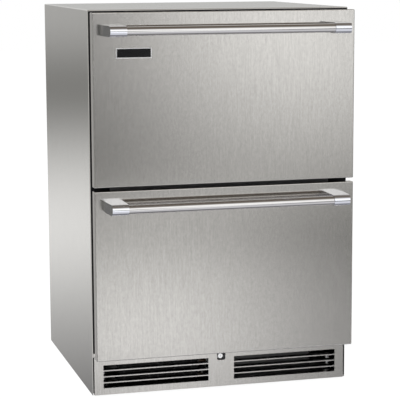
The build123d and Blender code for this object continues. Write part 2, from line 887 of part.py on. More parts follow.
def compressor():
    """A welded hermetic shell on a foot plate, with a terminal box and three stubs."""
    base = pan_top + grommet_height
    radius, height, middle = compressor_radius, compressor_height, compressor_height / 2
    seam, band = radius + compressor_seam, compressor_seam_height / 2
    crown = (radius ** 2 + compressor_crown ** 2) / (2 * compressor_crown)
    edge = height - compressor_crown
    halfway = height - crown + sqrt(crown ** 2 - (radius / 2) ** 2)
    profile = make_face([
        Polyline((0, height), (0, 0), (radius, 0), (radius, middle - band), (seam, middle - band),
                 (seam, middle + band), (radius, middle + band), (radius, edge)),
        ThreePointArc((radius, edge), (radius / 2, halfway), (0, height)),
    ])
    corners = profile.vertices()
    profile = fillet(corners.sort_by_distance((radius, edge, 0))[:1], compressor_shoulder)
    profile = fillet(profile.vertices().sort_by_distance((radius, 0, 0))[:1], compressor_heel)
    shell = Pos(compressor_x, compressor_y, base) * revolve(Plane.XZ * profile, Axis.Z)
    plate = block(compressor_x - compressor_foot_length / 2, compressor_x + compressor_foot_length / 2,
                  compressor_y - compressor_foot_width / 2, compressor_y + compressor_foot_width / 2,
                  base - compressor_foot_sheet, base)
    plate = fillet(plate.edges().filter_by(Axis.Z), grommet_radius)
    for x, y in grommet_points():
        plate -= rod_z(x, y, grommet_waist, base - compressor_foot_sheet - cut_over, base + cut_over)
    box_x = compressor_x - radius
    box = block(box_x - terminal_depth, box_x + radius / 2, compressor_y - terminal_width / 2,
                compressor_y + terminal_width / 2, base + middle - terminal_height - band,
                base + middle - band)
    stub = radius + stub_length
    stubs = rod_y(compressor_x, discharge_z(), stub_radius, compressor_y - stub, compressor_y)
    stubs += rod_x(compressor_y, suction_z(), stub_radius, compressor_x, compressor_x + stub)
    return shell + plate + box + stubs


def grommet_points():
    """Places of the compressor's four mounts, in X and Y."""
    return [(compressor_x + i * compressor_bolt_x, compressor_y + j * compressor_bolt_y)
            for i in (-1, 1) for j in (-1, 1)]


def compressor_grommets():
    """Rubber mounts: a wide foot, and a neck up through the compressor's foot plate."""
    foot_top = pan_top + grommet_height - compressor_foot_sheet
    top = pan_top + grommet_height
    grommets = []
    for x, y in grommet_points():
        grommets.append(rod_z(x, y, grommet_radius, pan_top, foot_top)
                        + rod_z(x, y, grommet_waist - screw_play, foot_top, top + grommet_neck))
    return grommets


def coil(x0, x1, y0, z0, rows, layers, row_pitch, layer_pitch, fins):
    """A finned coil: straight tubes joined by U-bends into one line, through flat fins."""
    points = []
    for layer in range(layers):
        order = range(rows) if layer % 2 == 0 else reversed(range(rows))
        z = z0 + coil_edge + layer * layer_pitch
        points += [(y0 + coil_edge + row * row_pitch, z) for row in order]
    straight = [rod_x(y, z, coil_tube_radius, x0, x1) for y, z in points]
    body = straight[0]
    for piece in straight[1:]:
        body += piece
    for index in range(len(points) - 1):
        end, side = (x0, -1) if index % 2 == 0 else (x1, 1)
        body += return_bend(points[index], points[index + 1], end, side)
    y1 = y0 + coil_span(rows, row_pitch)
    z1 = z0 + coil_span(layers, layer_pitch)
    margin = (x1 - x0) / (fins + 1)
    for index in range(fins):
        x = x0 + margin * (index + 1)
        body += block(x - fin_sheet / 2, x + fin_sheet / 2, y0, y1, z0, z1)
    return body


def coil_span(count, pitch):
    """A coil's outer size across this many tubes."""
    return 2 * coil_edge + (count - 1) * pitch


def return_bend(start, end, x, direction):
    """The half-circle bend between two neighbouring tubes, at x."""
    span = sqrt((end[0] - start[0]) ** 2 + (end[1] - start[1]) ** 2)
    first = Vector(x, start[0], start[1])
    last = Vector(x, end[0], end[1])
    crown = (first + last) * 0.5 + Vector(direction * span / 2, 0, 0)
    path = ThreePointArc(first, crown, last)
    return sweep(Plane(path @ 0, z_dir=path % 0) * Circle(coil_tube_radius), path=path)


def condenser_coil():
    """The condenser, lying in the air path behind the left half of the grille."""
    return coil(condenser_x0, condenser_x1, condenser_y0, pan_top, condenser_rows, condenser_layers,
                condenser_row_pitch, condenser_layer_pitch, condenser_fins)


def evaporator_y0():
    """The front of the evaporator's fins."""
    return back_y - evaporator_back_gap - coil_span(evaporator_rows, evaporator_row_pitch)


def evaporator_coil():
    """The evaporator, standing on the liner's step behind the air cover."""
    return coil(-evaporator_half_width, evaporator_half_width, evaporator_y0(), step_z, evaporator_rows,
                evaporator_layers, evaporator_row_pitch, evaporator_layer_pitch, evaporator_fins)


def fan(x, z, y, radius, blades):
    """An axial fan about Y, with pitched blades and a bore for the motor's shaft."""
    hub = Cylinder(fan_hub_radius, fan_hub_length)
    span = radians(fan_blade_span / 2)
    root, tip = fan_hub_radius - fan_root_depth, radius
    face = make_face([
        Line((root * cos(span), -root * sin(span)), (tip * cos(span), -tip * sin(span))),
        ThreePointArc((tip * cos(span), -tip * sin(span)), (tip, 0), (tip * cos(span), tip * sin(span))),
        Line((tip * cos(span), tip * sin(span)), (root * cos(span), root * sin(span))),
        Line((root * cos(span), root * sin(span)), (root * cos(span), -root * sin(span))),
    ])
    blade = Rot(fan_blade_pitch, 0, 0) * Pos(0, 0, -fan_blade_sheet / 2) * extrude(face, fan_blade_sheet)
    wheel = hub
    for index in range(blades):
        wheel += Rot(0, 0, index * 360 / blades) * blade
    wheel -= Cylinder(fan_shaft_radius + fan_shaft_play, fan_hub_length + 2)
    return Pos(x, y, z) * Rot(90, 0, 0) * wheel


def fan_half(radius):
    """Half the depth that a fan of this radius sweeps, blades and hub."""
    swept = radius * sin(radians(fan_blade_span / 2)) * sin(radians(fan_blade_pitch))
    return max(fan_hub_length / 2, swept + fan_blade_sheet)


def fan_motor(x, z, y, radius, plate_y):
    """A small motor behind its fan, on three legs that reach the fan's plate."""
    front = y + fan_half(radius) + motor_gap
    body = rod_y(x, z, motor_radius, front, front + motor_length)
    body = fillet(body.edges().group_by(Axis.Y)[-1], motor_corner)
    shaft = rod_y(x, z, fan_shaft_radius, y - fan_hub_length / 2, front)
    motor = body + shaft
    outer = radius + fan_tip_gap + motor_leg_width
    for index in range(motor_legs):
        arm = block(motor_radius - motor_corner, outer, front, front + motor_leg_sheet,
                    -motor_leg_width / 2, motor_leg_width / 2)
        arm += block(outer - motor_leg_sheet, outer, plate_y, front + motor_leg_sheet,
                     -motor_leg_width / 2, motor_leg_width / 2)
        motor += Pos(x, 0, z) * Rot(0, 90 + index * 360 / motor_legs, 0) * arm
    return motor


def condenser_fan_z():
    """The condenser fan's axis is in the middle of the high part of the machine space."""
    return (pan_top + machine_height) / 2


def condenser_fan():
    """The fan that pulls air through the condenser and over the compressor."""
    return fan(condenser_fan_x, condenser_fan_z(), condenser_hub_y(), condenser_fan_radius,
               condenser_fan_blades)


def condenser_hub_y():
    """The middle of the condenser fan's hub."""
    return condenser_fan_y + shroud_sheet + fan_plate_gap + fan_half(condenser_fan_radius)


def condenser_fan_motor():
    """The condenser fan's motor."""
    return fan_motor(condenser_fan_x, condenser_fan_z(), condenser_hub_y(), condenser_fan_radius,
                     condenser_fan_y + shroud_sheet)


def condenser_fan_shroud():
    """The plate across the left of the machine space, with a ringed hole for the fan."""
    x0, z = -inner_half + shroud_side_gap, condenser_fan_z()
    hole = condenser_fan_radius + fan_tip_gap
    y0, y1 = condenser_fan_y, condenser_fan_y + shroud_sheet
    plate = block(x0, shroud_inner_x, y0, y1, pan_top, machine_height)
    ring = rod_y(condenser_fan_x, z, hole + shroud_sheet, y0 - shroud_ring, y0)
    return plate + ring - rod_y(condenser_fan_x, z, hole, y0 - shroud_ring - cut_over, y1 + cut_over)


def evaporator_hub_y():
    """The middle of the evaporator fan's hub."""
    return air_cover_y + air_cover_sheet + fan_plate_gap + fan_half(evaporator_fan_radius)


def evaporator_fan():
    """The fan that blows cold air out through the cover."""
    return fan(0, evaporator_fan_z, evaporator_hub_y(), evaporator_fan_radius, evaporator_fan_blades)


def evaporator_fan_motor():
    """The evaporator fan's motor."""
    return fan_motor(0, evaporator_fan_z, evaporator_hub_y(), evaporator_fan_radius,
                     air_cover_y + air_cover_sheet)


def evaporator_cover():
    """The bent panel in front of and over the evaporator, with its outlets and return slots."""
    half = opening_half - air_cover_side_gap
    y0, z1 = air_cover_y, air_cover_top
    cover = block(-half, half, y0, y0 + air_cover_sheet, step_z, z1)
    cover += block(-half, half, y0, back_y, z1 - air_cover_sheet, z1)
    cut = (y0 - cut_over, y0 + air_cover_sheet + cut_over)
    cover -= rod_y(0, evaporator_fan_z, evaporator_fan_radius + fan_tip_gap, *cut)
    for index in range(air_slot_count):
        x = (index - (air_slot_count - 1) / 2) * air_slot_pitch
        for z in (step_z + air_return_drop, z1 - air_slot_drop):
            cover -= block(x - air_slot_width / 2, x + air_slot_width / 2, *cut,
                           z - air_slot_height / 2, z + air_slot_height / 2)
    return cover


def coil_port(y0, z0, layers, layer_pitch):
    """The Y of a coil's two open ends, and the Z of the lower and the upper one."""
    return y0 + coil_edge, z0 + coil_edge, z0 + coil_edge + (layers - 1) * layer_pitch


def condenser_port():
    """The condenser's open ends: their Y, and the lower and upper Z."""
    return coil_port(condenser_y0, pan_top, condenser_layers, condenser_layer_pitch)


def evaporator_port():
    """The evaporator's open ends: their Y, and the lower and upper Z."""
    return coil_port(evaporator_y0(), step_z, evaporator_layers, evaporator_layer_pitch)


def discharge_z():
    """The compressor's outlet is level with the condenser's upper port."""
    return condenser_port()[2]


def suction_z():
    """The height of the compressor's inlet."""
    return pan_top + grommet_height + suction_rise


def refrigerant_lines():
    """The discharge, liquid, capillary and suction lines."""
    y, low, high = condenser_port()
    back, cold_low, cold_high = evaporator_port()
    stub = compressor_radius + stub_length
    drier_end = drier_y + drier_length
    suction_x, capillary_x = feed_x + suction_offset, feed_x + capillary_offset
    discharge = tube([
        (compressor_x, compressor_y - stub, high), (compressor_x, line_run_y, high),
        (line_x, line_run_y, high), (line_x, y, high), (condenser_x1, y, high),
    ], line_radius, line_bend)
    liquid = tube([
        (condenser_x1, y, low), (line_x, y, low), (line_x, drier_y, low),
    ], line_radius, line_bend)
    capillary = tube([
        (line_x, drier_end, low), (line_x, capillary_run_y, low), (capillary_x, capillary_run_y, low),
        (capillary_x, compressor_y, low), (capillary_x, compressor_y, cold_low),
        (capillary_x, back, cold_low), (evaporator_half_width, back, cold_low),
    ], capillary_radius, line_bend)
    suction = tube([
        (evaporator_half_width, back, cold_high), (suction_x, back, cold_high),
        (suction_x, compressor_y, cold_high), (suction_x, compressor_y, suction_z()),
        (compressor_x + stub, compressor_y, suction_z()),
    ], line_radius, line_bend)
    return [discharge, liquid, capillary, suction]


def filter_drier():
    """The drier in the liquid line, with tapered ends."""
    z = condenser_port()[1]
    can = rod_y(line_x, z, drier_radius, drier_y, drier_y + drier_length)
    return chamfer(can.edges().filter_by(GeomType.CIRCLE), drier_radius - line_radius, drier_taper)


def drain_tube():
    """The tube that drops melt water from the liner's step to the tray."""
    z0 = pan_top + tray_height + drain_air_gap
    return rod_z(drain_x, drain_y, drain_radius, z0, step_z) - rod_z(
        drain_x, drain_y, drain_radius - drain_wall, z0 - cut_over, step_z + cut_over)


def evaporation_pan():
    """The open tray under the drain tube, wider at the top."""
    foot = Pos(drain_x, drain_y, pan_top)
    outer = foot * extrude(Rectangle(tray_length, tray_width), tray_height, taper=-tray_draft)
    inner = Rectangle(tray_length - 2 * tray_wall, tray_width - 2 * tray_wall)
    hollow = foot * Pos(0, 0, tray_wall) * extrude(inner, tray_height, taper=-tray_draft)
    return outer - hollow


def control_box():
    """The box for the control board and relays, with a lid that overhangs a little."""
    y1, z1 = control_y0 + control_depth, pan_top + control_height
    box = block(control_x0, control_x1, control_y0, y1, pan_top, z1)
    box = fillet(box.edges().filter_by(Axis.Z), control_corner)
    box -= block(control_x0 + control_wall, control_x1 - control_wall, control_y0 + control_wall,
                 y1 - control_wall, pan_top + control_wall, z1)
    lid = block(control_x0 - control_lid, control_x1 + control_lid, control_y0 - control_lid,
                y1 + control_lid, z1, z1 + control_lid)
    return box + fillet(lid.edges().filter_by(Axis.Z), control_corner)


def display_module():
    """The control panel under the ceiling: a window and a row of membrane keys."""
    half, z0 = display_width / 2, ceiling_z - display_height
    box = block(-half, half, display_front, display_front + display_depth, z0, ceiling_z)
    middle = ceiling_z - display_height / 2
    window = block(-half + display_key_radius, 0,
                   display_front - cut_over, display_front + display_key_rise,
                   middle - display_key_radius, middle + display_key_radius)
    keys = [rod_y(display_key_pitch * (index + 0.5), middle, display_key_radius,
                  display_front - display_key_rise, display_front) for index in range(display_keys)]
    for key in keys:
        box += key
    return box - window


def light_strips():
    """The lamp under the ceiling and the one under the mullion."""
    upper = block(-light_half_length, light_half_length, light_setback, light_setback + light_width,
                  ceiling_z - light_height, ceiling_z)
    lower = block(-light_half_length, light_half_length, lower_light_setback,
                  lower_light_setback + light_width, mullion_low - light_height, mullion_low)
    return [chamfer(lamp.edges().group_by(Axis.Z)[0], light_chamfer) for lamp in (upper, lower)]


def power_inlet():
    """A panel appliance inlet with three flat pins, for a detachable lead."""
    half, high = inlet_width / 2, inlet_height / 2
    y0, y1 = cabinet_depth - inlet_depth, cover_back + inlet_flange_depth
    body = block(inlet_x - half, inlet_x + half, y0, cover_back, inlet_z - high, inlet_z + high)
    body += block(inlet_x - inlet_flange_width / 2, inlet_x + inlet_flange_width / 2, cover_back, y1,
                  inlet_z - inlet_flange_height / 2, inlet_z + inlet_flange_height / 2)
    socket = block(inlet_x - half + inlet_wall, inlet_x + half - inlet_wall, y0 + inlet_wall, y1 + cut_over,
                   inlet_z - high + inlet_wall, inlet_z + high - inlet_wall)
    body -= fillet(socket.edges().filter_by(Axis.Y).group_by(Axis.Z)[-1], inlet_socket_corner)
    for offset_x, offset_z in ((-inlet_pin_pitch, -1), (0, 1), (inlet_pin_pitch, -1)):
        x, z = inlet_x + offset_x, inlet_z + offset_z * inlet_pin_width
        body += block(x - inlet_pin_width / 2, x + inlet_pin_width / 2, y0 + inlet_wall,
                      cover_back - inlet_wall, z - inlet_pin_height / 2, z + inlet_pin_height / 2)
    return body


def upper_bin():
    """The upper drawer's bin, over the evaporator cover."""
    return drawer_bin(mullion_high + bin_floor_gap, ceiling_z - bin_top_gap, back_y - upper_bin_back_gap)


def lower_bin():
    """The lower drawer's bin, in front of the liner's step."""
    return drawer_bin(floor_z + bin_floor_gap, mullion_low - bin_top_gap, step_y - lower_bin_back_gap)


def drawer(name, front_z, handle_drop, bin_solid, slide_z, slide_length):
    """Write the pieces of one drawer and its slides."""
    handle_z = front_z + front_height - handle_drop
    write_piece(name + "_front_skin", front_skin(front_z, handle_z))
    write_piece(name + "_front_panel", inner_panel(front_z, handle_z))
    write_piece(name + "_gasket", door_gasket(front_z))
    write_piece(name + "_handle_bar", handle_bar(handle_z))
    write_piece(name + "_handle_bracket_left", handle_bracket(-1, handle_z))
    write_piece(name + "_handle_bracket_right", handle_bracket(1, handle_z))
    write_piece(name + "_handle_screws", *handle_screws(handle_z))
    write_piece(name + "_bin", bin_solid)
    write_piece(name + "_slide_channels", *slide_pair(slide_channel, slide_z, slide_length))
    write_piece(name + "_slide_intermediates", *slide_pair(slide_intermediate, slide_z, slide_length))
    write_piece(name + "_slide_rails", *slide_pair(slide_rail, slide_z, slide_length))


def main():
    """Write every piece."""
    os.makedirs("parts", exist_ok=True)
    write_piece("cabinet_wrapper", cabinet_wrapper())
    write_piece("cabinet_liner", cabinet_liner())
    write_piece("machine_deck", machine_deck())
    write_piece("foam_insulation", foam_insulation())
    write_piece("face_frame", face_frame())
    write_piece("center_mullion", center_mullion())
    write_piece("back_panel", back_panel())
    write_piece("machine_cover_rear", machine_cover_rear())
    write_piece("cover_screws", *cover_screws())
    write_piece("base_pan", base_pan())
    for place, (x, y) in foot_points().items():
        write_piece("leveling_leg_" + place, leveling_leg(x, y))
    write_piece("toe_grille", toe_grille())
    drawer("upper", upper_front_z, upper_handle_drop, upper_bin(),
           mullion_high + bin_floor_gap + upper_slide_rise, upper_slide_length)
    drawer("lower", lower_front_z, lower_handle_drop, lower_bin(),
           floor_z + bin_floor_gap + lower_slide_rise, lower_slide_length)
    write_piece("name_plate", name_plate())
    write_piece("lock_bracket", lock_bracket())
    write_piece("lock_cylinder", lock_cylinder())
    write_piece("lock_cam", lock_cam())
    write_piece("lock_keeper", lock_keeper())
    write_piece("compressor", compressor())
    write_piece("compressor_grommets", *compressor_grommets())
    write_piece("condenser_coil", condenser_coil())
    write_piece("condenser_fan", condenser_fan())
    write_piece("condenser_fan_motor", condenser_fan_motor())
    write_piece("condenser_fan_shroud", condenser_fan_shroud())
    write_piece("evaporator_coil", evaporator_coil())
    write_piece("evaporator_fan", evaporator_fan())
    write_piece("evaporator_fan_motor", evaporator_fan_motor())
    write_piece("evaporator_cover", evaporator_cover())
    write_piece("refrigerant_lines", *refrigerant_lines())
    write_piece("filter_drier", filter_drier())
    write_piece("drain_tube", drain_tube())
    write_piece("evaporation_pan", evaporation_pan())
    write_piece("control_box", control_box())
    write_piece("display_module", display_module())
    write_piece("light_strips", *light_strips())
    write_piece("power_inlet", power_inlet())


if __name__ == "__main__":
    main()
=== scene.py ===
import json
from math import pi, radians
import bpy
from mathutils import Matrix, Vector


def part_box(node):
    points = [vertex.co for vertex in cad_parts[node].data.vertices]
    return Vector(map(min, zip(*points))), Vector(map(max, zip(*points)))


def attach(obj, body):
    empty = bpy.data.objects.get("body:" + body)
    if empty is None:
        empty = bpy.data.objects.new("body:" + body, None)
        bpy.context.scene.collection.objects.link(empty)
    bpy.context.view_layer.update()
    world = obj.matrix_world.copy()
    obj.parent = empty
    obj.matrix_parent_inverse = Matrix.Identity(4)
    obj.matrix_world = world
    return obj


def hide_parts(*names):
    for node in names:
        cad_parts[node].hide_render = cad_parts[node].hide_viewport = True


bl_info = {
    "name": "Undercounter Drawer Freezer",
    "version": (1, 0, 0),
    "blender": (4, 5, 0),
    "location": "View3D > Sidebar > Drawer Freezer",
    "description": "Finishes, hardware and studio for an undercounter freezer with two drawers",
    "category": "Object",
}

import bmesh
import bpy
from bpy.props import FloatProperty, FloatVectorProperty, PointerProperty
from mathutils import Matrix, Vector

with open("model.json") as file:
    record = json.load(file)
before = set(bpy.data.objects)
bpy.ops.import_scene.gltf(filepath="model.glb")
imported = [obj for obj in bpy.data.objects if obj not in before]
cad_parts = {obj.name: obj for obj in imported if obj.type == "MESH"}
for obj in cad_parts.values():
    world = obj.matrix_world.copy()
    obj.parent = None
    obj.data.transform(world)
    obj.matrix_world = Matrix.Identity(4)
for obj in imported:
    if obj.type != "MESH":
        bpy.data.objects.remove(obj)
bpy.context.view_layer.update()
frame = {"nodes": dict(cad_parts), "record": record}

# Sizes are in metres, and angles in radians unless a comment says degrees.
# X runs to the right, Y to the back and Z up from the floor.

SLOT_OF_NODE = {part["node"]: part["material_slot"] for part in frame["record"]["subparts"]}

# The material made for each finish, filled in by the first operator
FINISH_NAMES = {}

# Brushed sheet: the upward share of the normal past which a face counts as flat, the swing of the
# roughness over the marks, and their depth
FLAT_FACE = 0.7
BRUSH_SWING = 0.15
BRUSH_DEPTH = 0.000003

# Bent returns of the drawer fronts: the sideways or downward share of the normal where they begin
# and where they are complete, their roughness, and the painted shade that darkens them against the face
RETURN_BEGINS = 0.25
RETURN_WHOLE = 0.6
RETURN_ROUGHNESS = 0.5
# Painted shade on the returns: their colour is this share of the face's colour
RETURN_PAINTED_SHADE = 0.85

# The photograph's viewpoint, fitted to the corners of the cabinet and the drawer fronts
CAMERA_PLACE = (-0.97102, -3.65179, 0.97698)
CAMERA_TURN = 0.26301
CAMERA_DIP = 0.1496
CAMERA_ROLL = -0.00498
CAMERA_LENS_MM = 142.13
CAMERA_SENSOR_MM = 36.0

# What metal mirrors at each elevation, in degrees above the horizon, and the darkest that it gets
STUDIO_DARKEST = (0.03, 0.03, 0.03)
STUDIO_RAMP = (
    (-90, (0.25, 0.25, 0.26)), (-72, (0.3, 0.3, 0.31)), (-57, (0.78, 0.78, 0.81)), (-20, (0.8, 0.8, 0.82)),
    (-15, (0.62, 0.62, 0.62)), (-10, (0.5, 0.5, 0.49)), (-5, (0.44, 0.44, 0.43)), (0, (0.46, 0.46, 0.45)),
    (7, (0.8, 0.8, 0.79)), (18, (0.9, 0.9, 0.88)), (30, (0.85, 0.84, 0.82)), (46, (0.5, 0.48, 0.45)),
    (62, (0.2, 0.17, 0.14)), (90, (0.12, 0.1, 0.08)),
)

# Soft cards: azimuth to the right of the front, elevation, half width and half height, all in degrees,
# and how much brighter or darker than the ramp
STUDIO_CARDS = {
    "bright card before the upper front": (17.5, -2.5, 4.4, 5.2, 1.6),
    "bright card before the lower front": (13.4, -13.5, 5, 6, 1.8),
    "dark card at the lower right": (20, -12.2, 4.6, 5, -0.95),
    "dark card at the right of the grille": (22, -16, 4.6, 1.6, -0.75),
    "dark card at the left of the grille": (11, -15.8, 4, 1.3, -0.35),
    "dark card between the fronts": (11.3, -6, 4, 4.4, -1),
    "dark card at the upper left": (9.5, -4, 4.2, 5, -0.55),
    "dark card at the lower left": (7, -12, 3, 4, -0.3),
    "bright card over the camera": (15, 23, 16, 13, 0.65),
    "bright card level with the bracket tops": (15, 8, 16, 4.5, 0.28),
    "dark floor behind": (165, -62, 60, 20, -0.65),
    "dark wall on the right": (75, -5, 38, 30, -0.28),
    "bright wall on the left": (-75, -8, 34, 16, 0.45),
    "dark card left of the brackets": (-13, -6, 9, 10, -0.5),
    "pale wall behind": (165, 2, 50, 6, -0.04),
    "dark card at the far left": (4, -16, 16, 5, -0.5),
    "bright card level with the seam": (12, -8.8, 4.4, 0.8, 0.3),
    "dark card right of the seam": (20, -9.6, 4.4, 1.2, -0.25),
    "bright card beside the left panel": (-180, -9.3, 36, 2.8, 0.56),
    "dark card high beside the left panel": (-170, -4.5, 40, 1.8, -0.2),
    "bright card at the top of the left panel": (-180, -1.6, 36, 2.2, 0.12),
    "dark card low beside the left panel": (-178, -17.5, 38, 3.6, -0.55),
}


# Property groups

class FreezerFinishes(bpy.types.PropertyGroup):
    """Colours and grain of the sheet metal."""

    steel_colour: FloatVectorProperty(
        name="Stainless", description="Colour of the outer stainless sheet",
        subtype="COLOR", size=3, min=0, max=1, default=(0.63, 0.615, 0.595))
    steel_roughness: FloatProperty(
        name="Stainless roughness", description="Mean roughness of the outer sheet",
        subtype="FACTOR", min=0, max=1, default=0.13)
    grain_width: FloatProperty(
        name="Grain width", description="Width of one brush mark",
        unit="LENGTH", min=0.0001, default=0.0014)
    grain_length: FloatProperty(
        name="Grain length", description="Length of one brush mark",
        unit="LENGTH", min=0.001, default=0.06)
    streak_width: FloatProperty(
        name="Streak width", description="Width of one streak of the sheet's mottle",
        unit="LENGTH", min=0.0005, default=0.0035)
    streak_length: FloatProperty(
        name="Streak length", description="Length of one streak of the sheet's mottle",
        unit="LENGTH", min=0.001, default=0.008)


class FreezerHardware(bpy.types.PropertyGroup):
    """Sizes of the small hardware."""

    plate_rim: FloatProperty(
        name="Plate rim", description="Width of the bright rim round the bare plate",
        unit="LENGTH", min=0.0002, default=0.0016)
    plate_recess: FloatProperty(
        name="Plate recess", description="Depth of the black field below the rim",
        unit="LENGTH", min=0.0001, default=0.0005)
    gasket_width: FloatProperty(
        name="Gasket width", description="Width of the magnetic gasket's section",
        unit="LENGTH", min=0.004, default=0.014)
    fin_pitch: FloatProperty(
        name="Fin pitch", description="Distance from one coil fin to the next",
        unit="LENGTH", min=0.001, default=0.0032)
    fin_sheet: FloatProperty(
        name="Fin sheet", description="Thickness of one coil fin",
        unit="LENGTH", min=0.0001, default=0.0003)
    rivet_radius: FloatProperty(
        name="Rivet radius", description="Radius of the slide rivets' heads",
        unit="LENGTH", min=0.001, default=0.0042)
    rivet_rise: FloatProperty(
        name="Rivet rise", description="Height of the slide rivets' heads",
        unit="LENGTH", min=0.0002, default=0.0014)


class FreezerStudio(bpy.types.PropertyGroup):
    """The floor and the lights."""

    floor_radius: FloatProperty(
        name="Floor radius", description="Half the width of the studio floor",
        unit="LENGTH", min=1, default=14)
    floor_white: FloatProperty(
        name="Floor white", description="How much of the light the floor gives back",
        subtype="FACTOR", min=0, max=1, default=0.9)
    floor_glow: FloatProperty(
        name="Floor glow", description="Strength of the white that the camera sees on the floor",
        min=0, default=1.12)
    floor_glow_share: FloatProperty(
        name="Floor glow share", description="How far that white covers the floor's soft shadow",
        subtype="FACTOR", min=0, max=1, default=0.85)
    soft_light: FloatProperty(
        name="Soft light", description="Strength of the even light on matt surfaces",
        min=0, default=0.62)
    key_power: FloatProperty(
        name="Key power", description="Power of the large light over the front",
        unit="POWER", min=0, default=95)
    side_power: FloatProperty(
        name="Side power", description="Power of the fill light on the left",
        unit="POWER", min=0, default=38)


# Shared helpers for materials

def add_node(tree, kind, inputs=None, **settings):
    """Adds a node, sets its properties, and links or sets its inputs."""
    made = tree.nodes.new(kind)
    for key, value in settings.items():
        setattr(made, key, value)
    for key, value in (inputs or {}).items():
        if isinstance(value, bpy.types.NodeSocket):
            tree.links.new(value, made.inputs[key])
        else:
            made.inputs[key].default_value = value
    return made


def maths(tree, operation, *values, use_clamp=False):
    """The result of a calculation on numbers or sockets."""
    return add_node(tree, "ShaderNodeMath", dict(enumerate(values)), operation=operation,
                    use_clamp=use_clamp).outputs["Value"]


def vector_maths(tree, operation, *values, **named):
    """The result of a calculation on vectors or sockets."""
    made = add_node(tree, "ShaderNodeVectorMath", {**dict(enumerate(values)), **named}, operation=operation)
    return made.outputs["Value" if operation == "DOT_PRODUCT" else "Vector"]


def mixed(tree, kind, factor, first, second):
    """A blend of two vectors (kind VECTOR) or of two colours with their alpha (kind RGBA)."""
    return add_node(tree, "ShaderNodeMix", {"Factor": factor, "A": first, "B": second},
                    data_type=kind).outputs["Result"]


def mixed_shaders(tree, factor, first, second):
    """A blend of two shaders."""
    return add_node(tree, "ShaderNodeMixShader", {0: factor, 1: first, 2: second}).outputs["Shader"]


def seen_by_camera(tree, path):
    """1 on a ray straight from the camera or through a clear piece, and 0 on any other."""
    return maths(tree, "ADD", path.outputs["Is Camera Ray"], path.outputs["Is Transmission Ray"],
                 use_clamp=True)


def object_place(tree, scale):
    """Object coordinates, multiplied so that one unit is one pattern cell."""
    place = add_node(tree, "ShaderNodeTexCoord").outputs["Object"]
    return add_node(tree, "ShaderNodeMapping", {"Vector": place, "Scale": scale}).outputs["Vector"]


def noise(tree, vector, detail=2.0, roughness=0.5):
    """Cloudy noise with one cell to each unit of the vector."""
    return add_node(tree, "ShaderNodeTexNoise", {
        "Vector": vector, "Scale": 1.0, "Detail": detail, "Roughness": roughness}).outputs["Fac"]


def remap(tree, value, low, high, from_low=0.25, from_high=0.75):
    """Carries a value from one range to another; noise mostly lies between 0.25 and 0.75."""
    return add_node(tree, "ShaderNodeMapRange", {
        "Value": value, "From Min": from_low, "From Max": from_high,
        "To Min": low, "To Max": high}).outputs["Result"]


def new_finish(name, colour, metallic, roughness, **sockets):
    """A material with its constants on the shader's own sockets."""
    material = bpy.data.materials.new(name)
    material.use_nodes = True
    shader = shader_of(material)
    shader.inputs["Base Color"].default_value = (*colour, 1)
    shader.inputs["Metallic"].default_value = metallic
    shader.inputs["Roughness"].default_value = roughness
    for key, value in sockets.items():
        shader.inputs[key.replace("_", " ")].default_value = value
    return material


def shader_of(material):
    """The material's one surface shader."""
    return material.node_tree.nodes["Principled BSDF"]


def vary_colour(material, fac, colour, spread, from_low=0.25, from_high=0.75):
    """Lets the base colour swing by spread about its own value."""
    tree = material.node_tree
    dark = tuple(channel * (1 - spread) for channel in colour)
    light = tuple(min(channel * (1 + spread), 1) for channel in colour)
    share = remap(tree, fac, 0, 1, from_low, from_high)
    varied = mixed(tree, "RGBA", share, (*dark, 1), (*light, 1))
    tree.links.new(varied, shader_of(material).inputs["Base Color"])


def vary_roughness(material, fac, low, high):
    """Lets the roughness run from low to high over the pattern."""
    tree = material.node_tree
    tree.links.new(remap(tree, fac, low, high), shader_of(material).inputs["Roughness"])


def add_relief(material, fac, depth):
    """Bump from a pattern; depth is in metres."""
    tree = material.node_tree
    bump = add_node(tree, "ShaderNodeBump", {"Height": fac, "Distance": depth, "Strength": 1.0})
    tree.links.new(bump.outputs["Normal"], shader_of(material).inputs["Normal"])


# Finishes

def grain_place(tree, is_flat, width, length):
    """Cells as wide and as long as one mark, upright on walls and from front to back on flat faces."""
    upright = object_place(tree, (1 / width, 1 / width, 1 / length))
    lengthways = object_place(tree, (1 / width, 1 / length, 1 / width))
    return mixed(tree, "VECTOR", is_flat, upright, lengthways)


def brushed_steel(name, colour, roughness, brush, streak, spread=0.05, anisotropy=1.0):
    """Sheet brushed along one way, with fine marks, short streaks and its blur across the grain.

    brush and streak are the width and the length of one mark and of one streak.
    """
    material = new_finish(name, colour, 1.0, roughness, Anisotropic=anisotropy)
    tree = material.node_tree
    normal = add_node(tree, "ShaderNodeNewGeometry").outputs["Normal"]
    upward = add_node(tree, "ShaderNodeSeparateXYZ", {"Vector": normal}).outputs["Z"]
    is_flat = maths(tree, "GREATER_THAN", maths(tree, "ABSOLUTE", upward), FLAT_FACE)
    marks = noise(tree, grain_place(tree, is_flat, *brush), detail=3.0, roughness=0.65)
    streaks = noise(tree, grain_place(tree, is_flat, *streak), detail=2.0, roughness=0.6)
    vary_colour(material, streaks, colour, spread, from_low=0.3, from_high=0.7)
    vary_roughness(material, marks, roughness * (1 - BRUSH_SWING), roughness * (1 + BRUSH_SWING))
    add_relief(material, marks, BRUSH_DEPTH)
    grain_way = mixed(tree, "VECTOR", is_flat, (0, 0, 1), (0, 1, 0))
    across = vector_maths(tree, "CROSS_PRODUCT", normal, grain_way)
    tree.links.new(across, shader_of(material).inputs["Tangent"])
    return material


